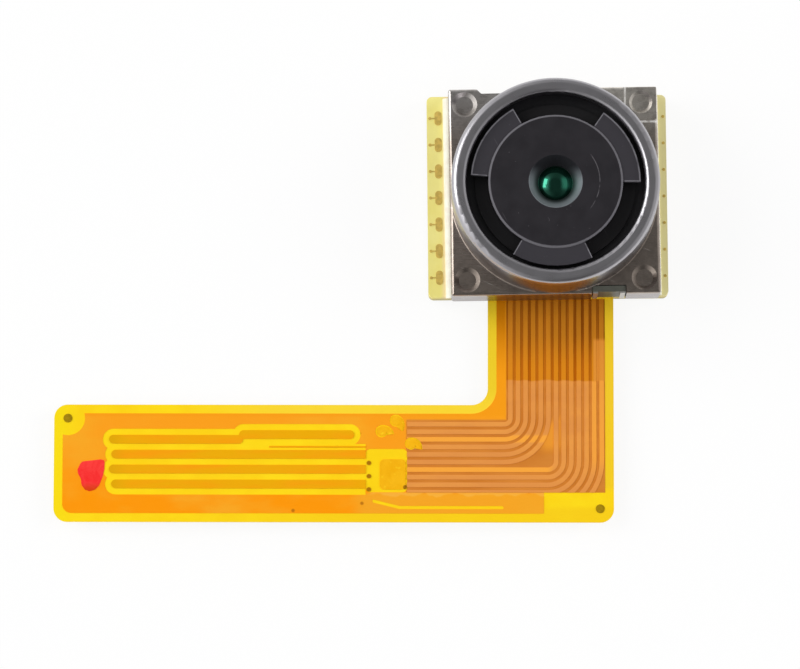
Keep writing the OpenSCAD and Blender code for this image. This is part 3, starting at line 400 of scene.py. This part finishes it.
def make_ink():
    """Blot of red ink, thinner and browner towards its lower end."""
    m = Mat("red_ink")
    c = m.mix(m.patches(0.3, 0.7, 2.2, 4, 0.6, dist=0.8), (248, 44, 44), (255, 66, 62))
    m.base(m.mix(m.ramp(m.y(), -11.7, -12.05), c, (220, 62, 14)))
    m.rough_noise(3, 3, 0.4, 0.55)
    m.set(Specular_IOR_Level=FILM_GLOSS)
    m.bump(m.noise(4.0), 0.5, 0.03)
    return m


# ---------------------------------------------------------------- head
def make_board():
    """Pale yellow mask, pinker close to the can and duller at the right edge."""
    m = Mat("board_mask")
    c = m.mix(m.patches(0.3, 0.7, 0.8), (252, 240, 138), (255, 246, 154))
    near = m.mul(m.above(m.x(), CAN_LEFT, 0.1), m.below(m.x(), CAN_MIDDLE, 0.1))
    c = m.mix(m.mul(near, 0.8), c, (250, 226, 180))
    m.base(m.mix(m.ramp(m.x(), CAN_RIGHT - 0.05, CAN_RIGHT + 0.05, 0.0, 0.8), c, (246, 236, 176)))
    m.rough_noise(5, 3, 0.42, 0.58)
    m.set(Specular_IOR_Level=BOARD_GLOSS)
    m.bump(m.noise(7.0), 0.25, 0.02)
    return m


def make_can():
    """Nickel-plated sheet: brushed, clouded and finely scratched, with a painted reflection that
    lightens it towards the top, painted shade on the walls that face the neck, and painted
    highlights along the folds of the upper right corner's square.
    """
    m = Mat("plated_can")
    r = m.radius()
    brush = m.noise(3.0, 5, 0.6, (0.25, 6.0, 1.0))
    # painted reflection: the plate is lighter towards the top and towards the right
    top = m.mix(m.ramp(m.x(), -4.0, 4.0), (206, 202, 199), (246, 240, 230))
    c = m.mix(m.ramp(m.y(), 1.6, 3.9), (170, 158, 148), top)
    c = m.mix(m.mul(m.patches(0.4, 0.7, 0.55, 4, 0.55), 0.4), c, (150, 138, 128))
    mottle = m.mul(m.patches(0.42, 0.66, 3.4, 4, 0.6), 0.3)
    c = m.mix(m.peak(mottle, m.mul(m.ramp(brush, 0.5, 0.75), 0.12)), c, (116, 108, 100))
    collar = m.mul(m.below(r, COLLAR_R, 0.025), m.above(m.z(), COLLAR_FOOT_Z))
    c = m.mix(collar, c, (178, 176, 180))
    # painted shade on the collar's and the can's walls towards the neck
    front = m.mul(m.ramp(m.y(), -2.6, -3.9), m.ramp(m.z(), 4.9, 4.6))
    walls = m.peak(m.mul(collar, m.ramp(m.z(), 2.72, 2.9)), m.ramp(m.z(), 2.3, 2.1))
    c = m.mix(m.mul(front, walls), c, (150, 142, 142))
    # fine scratches, and painted highlights along the folds of the upper right corner's square
    scuff = m.peak(m.scratches(24, 1.6, 0.70, 3.1), m.scratches(-52, 1.3, 0.72, 11.7))
    scuff = m.mul(scuff, m.sub(1.0, m.mul(collar, 0.7)))
    upright = m.mul(m.band(m.x(), *SEAM_X, 0.02), m.ramp(m.y(), 3.0, 3.1))
    level = m.mul(m.band(m.y(), *SEAM_Y, 0.02), m.ramp(m.x(), 3.3, 3.5))
    fold = m.mul(m.peak(upright, level), m.patches(0.25, 0.5, 2.6), m.above(m.z(), PLATE_Z),
                 m.ramp(r, 4.25, 4.3))
    # the scratches and the painted fold highlights turn pale and less metallic
    mark = m.peak(m.mul(scuff, 0.55), fold)
    m.base(m.mix(mark, c, (228, 225, 220)))
    m.metal(m.sub(1.0, m.mul(mark, 0.9)))
    sheet = m.line(brush, 0.3, 0.7, 0.25, 0.33)
    m.rough(m.mix(collar, sheet, m.line(m.noise(2.0), 0.2, 0.8, 0.26, 0.32)))
    height = m.add(m.mul(brush, 0.2), m.mul(m.noise(9, 3, 0.6), 0.5))
    m.bump(m.mul(height, m.sub(1.0, m.mul(collar, 0.85))), 0.1, 0.02)
    return m


def make_barrel():
    """Black moulding with a glossier well around the front element that carries a painted reflection
    and painted shade, painted highlights on the edges of the disc and the lugs, and painted shade
    down in the gaps.
    """
    m = Mat("barrel_black")
    r = m.radius()
    c = m.mix(m.patches(0.3, 0.7, 1.2), (33, 31, 35), (39, 37, 41))
    on_lug = m.mul(m.ramp(r, 2.72, 2.76), m.ramp(m.z(), 4.6, 4.7))
    c = m.mix(on_lug, c, (54, 52, 57))
    # painted shade: darker below the lugs, down in the gaps
    c = m.mix(m.ramp(m.z(), 4.4, 4.5, 1.0, 0.0), c, (26, 25, 27))
    # painted highlights along the edges of the disc and of the lugs, the lugs' outer arcs only on
    # the upper side, broken up by noise
    edge = m.mul(m.band(r, *DISC_EDGE_R, 0.02), m.ramp(m.z(), 4.93, 4.96))
    lug_edge_highlight = m.mul(m.band(r, *LUG_EDGE_R, 0.02), m.ramp(m.y(), -0.6, 0.2))
    for i in range(LUG_COUNT):
        for turn in (LUG_START, LUG_START + LUG_SPAN):
            side = m.spoke(turn + 360 / LUG_COUNT * i, LUG_EDGE)
            lug_edge_highlight = m.peak(lug_edge_highlight, m.mul(side, m.ramp(r, LUG_FOOT_R, LUG_FOOT_R + 0.06)))
    highlight_breakup = m.ramp(m.noise(2.2), 0.3, 0.5, 0.45, 1.0)
    lug_edge_highlight = m.mul(lug_edge_highlight, m.mul(m.ramp(m.z(), 4.6, 4.7), highlight_breakup))
    c = m.mix(m.mul(m.peak(edge, lug_edge_highlight), 0.85), c, (128, 126, 132))
    # a curved scratch, specks and fine scratches
    arc = m.mul(m.band(r, *ARC_R, 0.012), m.ramp(m.x(), 1.35, 1.5), m.patches(0.35, 0.6, 5.0, 2))
    wear = m.peak(m.mul(arc, 0.7), m.mul(m.patches(0.74, 0.8, 9.0, 2), 0.4),
                  m.mul(m.scratches(62, 1.4, 0.73, 7.0), 0.4))
    c = m.mix(wear, c, (104, 102, 106))
    # painted reflection in the well around the front element, lighter towards its rim, with painted
    # shade on its upper side
    well = m.mul(m.below(r, WELL_R, 0.025), m.ramp(m.z(), 4.5, 4.56))
    well_painted_light = m.mix(m.ramp(r, 0.72, 0.98), (60, 66, 66), (176, 184, 190))
    well_painted_light = m.mix(m.ramp(m.y(), -0.1, 0.7), well_painted_light, (54, 54, 58))
    m.base(m.mix(well, c, well_painted_light))
    m.metal(m.mul(well, 0.7))
    m.rough(m.sub(m.line(m.noise(6), 0.2, 0.8, 0.4, 0.52), m.mul(well, 0.12)))
    m.set(IOR=1.5, Specular_IOR_Level=0.25)
    grain = m.noise(2.5, 4, 0.6, (0.4, 5, 1), dist=0.4)
    m.bump(m.add(m.mul(m.noise(38, 3, 0.6), 0.5), m.mul(grain, 0.3)), 0.18, 0.012)
    return m


def make_front_lens():
    """Front element with a green anti-reflection coating, with painted reflections that brighten it
    at its left and right.
    """
    m = Mat("lens_coated")
    dark = m.mix(m.patches(0.3, 0.7, 0.8, 2), (22, 64, 50), (28, 72, 58))
    # painted reflections: two brighter spots at the left and the right
    glint_spots = m.mul(m.ramp(m.m("ABSOLUTE", m.x()), 0.16, 0.32),
                  m.ramp(m.m("ABSOLUTE", m.y()), 0.12, 0.34, 1.0, 0.0))
    m.base(m.mix(glint_spots, dark, (50, 128, 104)))
    m.rough_noise(4, 2, 0.05, 0.1)
    m.set(IOR=1.52, Metallic=0.85)
    m.bump(m.noise(1.4, 2), 0.06, 0.01)
    return m


def make_glass(name, rgb):
    m = Mat(name)
    m.base(m.mix(m.patches(0.3, 0.7, 0.8, 2), rgb, tuple(v * 0.85 for v in rgb)))
    m.rough_noise(4, 2, 0.02, 0.05)
    m.set(IOR=1.52)
    m.bump(m.noise(0.6, 2), 0.02, 0.01)
    return m


CIRCUIT = {
    "flex_film": make_film, "copper_pour": make_pour, "signal_traces": make_traces,
    "power_traces": make_power, "tail_pads": make_pads, "fiducials": make_fiducials,
    "ink_mark": make_ink,
}
HEAD = {
    "upper_board": make_board, "shield_can": make_can, "lens_barrel": make_barrel,
    "lens_1": make_front_lens,
}
SPRING_BRONZE = ((196, 150, 84), 0.3, 1.0, 5, 0.08, 0.15, (1, 6, 1))
CARRIER_BLACK = ((28, 27, 30), 0.5, 0, 3, 0.1, 0.25)
# node: material's name, colour, roughness, metallic, scale of the drift, its spread, bump, grain
PLAIN = {
    "lower_board": ("board_laminate", (214, 202, 140), 0.6, 0, 3, 0.08, 0.3, (1, 1, 6)),
    "stiffener_plate": ("stainless_steel", (190, 190, 192), 0.32, 1.0, 2.0, 0.06, 0.25, (0.3, 8, 1)),
    "base_holder": ("grey_moulding", (88, 90, 82), 0.5, 0, 3, 0.1, 0.25),
    "magnets": ("plated_magnet", (150, 152, 156), 0.3, 1.0, 4, 0.08, 0.15),
    "upper_spring": ("spring_bronze_upper_spring", *SPRING_BRONZE),
    "lower_spring": ("spring_bronze_lower_spring", *SPRING_BRONZE),
    "voice_coil": ("enamel_wire", (170, 92, 44), 0.3, 0.6, 5, 0.1, 0.4, (0.2, 0.2, 18)),
    "light_stops": ("stop_film", (16, 16, 18), 0.6, 0, 5, 0.1),
    "image_sensor": ("silicon", (52, 64, 84), 0.2, 0.2, 9, 0.15, 0.1),
    "bond_wires": ("gold_wire", (226, 182, 72), 0.25, 1.0, 8, 0.06),
    "capacitors": ("chip_ceramic", (150, 134, 116), 0.5, 0, 8, 0.12),
    "driver_chip": ("chip_black", (34, 36, 40), 0.45, 0, 8, 0.12),
    "terminals": ("tinned", (190, 188, 182), 0.35, 0.7, 5, 0.08),
    "plug_tabs": ("tinned_tab", (206, 202, 194), 0.3, 1.0, 5, 0.08),
    "plug_housing": ("plug_moulding", (36, 33, 30), 0.5, 0, 4, 0.1, 0.25),
    "plug_contacts": ("plated_contact", (222, 184, 92), 0.25, 1.0, 6, 0.07),
}
GLOSSY = {
    "edge_pads": (("plated_pad", (214, 184, 94), 0.45, 0.1, 6, 0.15, 0.3), BOARD_GLOSS),
    "glue_beads": (("epoxy", (254, 248, 230), 0.4, 0, 3, 0.06, 0.3), BOARD_GLOSS),
    "cover_ring": (("black_moulding", (24, 23, 26), 0.5, 0, 3, 0.1, 0.2), BLACK_GLOSS),
    "lens_carrier": (("black_moulding_lens_carrier", *CARRIER_BLACK), BLACK_GLOSS),
    "retaining_ring": (("black_moulding_retaining_ring", *CARRIER_BLACK), BLACK_GLOSS),
}
GLASS = {
    "lens_2": ("lens_clear_2", (40, 60, 54)), "lens_3": ("lens_clear_3", (40, 60, 54)),
    "lens_4": ("lens_clear_4", (40, 60, 54)), "ir_filter": ("filter_glass", (70, 110, 104)),
}
for key, make in {**CIRCUIT, **HEAD}.items():
    dress(key, make())
for key, look in PLAIN.items():
    dress(key, speckle(*look))
for key, (look, gloss) in GLOSSY.items():
    dress(key, speckle(*look, Specular_IOR_Level=gloss))
for key, look in GLASS.items():
    dress(key, make_glass(*look))


# ---------------------------------------------------------------- camera
VIEW_AZIMUTH, VIEW_ELEVATION, VIEW_ROLL = 1.586, 82.289, 0.1065  # degrees
VIEW_DISTANCE = 222.58
FOCAL_LENGTH, SENSOR_WIDTH = 246.51, 36.0
LENS_CENTRE = (0, 0, 2.6)
AIM_LEFT, AIM_DOWN = 6.2686, 5.8429  # the view's middle, from the lens


def make_camera():
    a, e, r = (math.radians(v) for v in (VIEW_AZIMUTH, VIEW_ELEVATION, VIEW_ROLL))
    back = Vector((math.sin(a) * math.cos(e), -math.cos(a) * math.cos(e), math.sin(e)))
    level = Vector((0, 1, 0)).cross(back).normalized()
    upright = back.cross(level)
    right = math.cos(r) * level + math.sin(r) * upright
    up = -math.sin(r) * level + math.cos(r) * upright
    data = bpy.data.cameras.new("camera")
    data.lens = FOCAL_LENGTH
    data.sensor_width = SENSOR_WIDTH
    data.clip_start = 0.01
    data.clip_end = 10.0
    cam = bpy.data.objects.new("camera", data)
    aim = Vector(LENS_CENTRE) - right * AIM_LEFT - up * AIM_DOWN
    cam.matrix_world = Matrix.Translation((aim + back * VIEW_DISTANCE) * MM) @ Matrix(
        (right, up, back)).transposed().to_4x4()
    scene.collection.objects.link(cam)
    scene.camera = cam


make_camera()


# ---------------------------------------------------------------- stage and light
FLOOR_HALF_M, FLOOR_DROP = 0.6, 0.02
FLOOR_GLOW = 0.88  # share of plain white; the rest keeps the part's shadow
# Strength of the tent to the left, right, back and front, and overhead
TENT, OVERHEAD = (1.25, 0.6, 0.4, 0.15), 0.2
LAMP_AIM = (-6, -6, 1)


def white_floor():
    """White sheet under the part; seen from beneath it is clear, so the underside shows."""
    me = bpy.data.meshes.new("floor")
    s = FLOOR_HALF_M
    me.from_pydata([(-s, -s, 0), (s, -s, 0), (s, s, 0), (-s, s, 0)], [], [(0, 1, 2, 3)])
    ob = bpy.data.objects.new("floor", me)
    ob.location = (0, 0, -FLOOR_DROP * MM)
    scene.collection.objects.link(ob)
    m = Mat("floor_white")
    m.base((252, 252, 252))
    m.rough(0.9)
    m.set(Specular_IOR_Level=0.0)
    white = m.node("ShaderNodeEmission")
    white.inputs["Color"].default_value = (1, 1, 1, 1)
    white.inputs["Strength"].default_value = 1.0
    path = m.node("ShaderNodeLightPath")
    rays = ("Is Camera Ray", "Is Glossy Ray", "Is Transmission Ray")
    seen = m.peak(*(path.outputs[ray] for ray in rays))

    def blend(fac, a, b):
        n = m.node("ShaderNodeMixShader")
        for sock, v in zip(n.inputs, (fac, a, b)):
            m.link(v, sock)
        return n.outputs[0]

    sheet = blend(m.mul(seen, FLOOR_GLOW), m.bsdf.outputs[0], white.outputs[0])
    beneath = m.node("ShaderNodeNewGeometry").outputs["Backfacing"]
    clear = m.node("ShaderNodeBsdfTransparent").outputs[0]
    m.link(blend(beneath, sheet, clear), m.out.inputs[0])
    me.materials.append(m.mat)


def world():
    """White tent: brightest to the left, then the right and the back, dim in front and overhead."""
    w = bpy.data.worlds.new("studio")
    scene.world = w
    w.use_nodes = True
    nt = w.node_tree
    nt.nodes.clear()
    out = nt.nodes.new("ShaderNodeOutputWorld")
    bg = nt.nodes.new("ShaderNodeBackground")

    def math_node(op, a, b=None):
        n = nt.nodes.new("ShaderNodeMath")
        n.operation = op
        for i, v in enumerate((a, b)):
            if isinstance(v, bpy.types.NodeSocket):
                nt.links.new(v, n.inputs[i])
            elif v is not None:
                n.inputs[i].default_value = v
        return n.outputs[0]

    def step(v, lo, hi, a, b):
        n = nt.nodes.new("ShaderNodeMapRange")
        n.interpolation_type = "SMOOTHSTEP"
        nt.links.new(v, n.inputs["Value"])
        for key, val in zip(("From Min", "From Max", "To Min", "To Max"), (lo, hi, a, b)):
            if isinstance(val, bpy.types.NodeSocket):
                nt.links.new(val, n.inputs[key])
            else:
                n.inputs[key].default_value = val
        return n.outputs[0]

    tc = nt.nodes.new("ShaderNodeTexCoord")
    sep = nt.nodes.new("ShaderNodeSeparateXYZ")
    nt.links.new(tc.outputs["Generated"], sep.inputs[0])
    x, y, z = sep.outputs
    square = math_node("ADD", math_node("MULTIPLY", x, x), math_node("MULTIPLY", y, y))
    flat = math_node("SQRT", square)
    flat = math_node("MAXIMUM", flat, 0.001)
    nx = math_node("DIVIDE", x, flat)
    ny = math_node("DIVIDE", y, flat)
    # left, right, back and front reach the four strengths of TENT
    left, right, back, front = TENT
    side = math_node("MULTIPLY", math_node("MULTIPLY", nx, nx), (left + right) / 2 - front)
    side = math_node("ADD", side, math_node("MULTIPLY", nx, (right - left) / 2))
    side = math_node("ADD", side, math_node("MULTIPLY", math_node("MAXIMUM", ny, 0.0), back - front))
    side = math_node("ADD", side, front)
    low = step(z, 0.02, 0.14, 1.0, side)
    full = step(z, 0.80, 0.93, low, OVERHEAD)
    nt.links.new(full, bg.inputs["Strength"])
    bg.inputs["Color"].default_value = (1, 1, 1, 1)
    nt.links.new(bg.outputs[0], out.inputs[0])


def softbox(name, loc, size, power, mirrored=True):
    """Square lamp; one that isn't mirrored lights the part without showing in the metal."""
    data = bpy.data.lights.new(name, "AREA")
    data.shape = "SQUARE"
    data.size = size * MM
    data.energy = power
    ob = bpy.data.objects.new(name, data)
    ob.location = Vector(loc) * MM
    ob.rotation_mode = "QUATERNION"
    ob.rotation_quaternion = (Vector(loc) - Vector(LAMP_AIM)).to_track_quat("Z", "Y")
    ob.visible_glossy = mirrored
    scene.collection.objects.link(ob)


white_floor()
world()
softbox("key", (-230, 60, 200), 180, 0.33)
softbox("fill", (220, 20, 190), 160, 0.28, mirrored=False)
softbox("front", (30, -120, 260), 160, 0.09, mirrored=False)
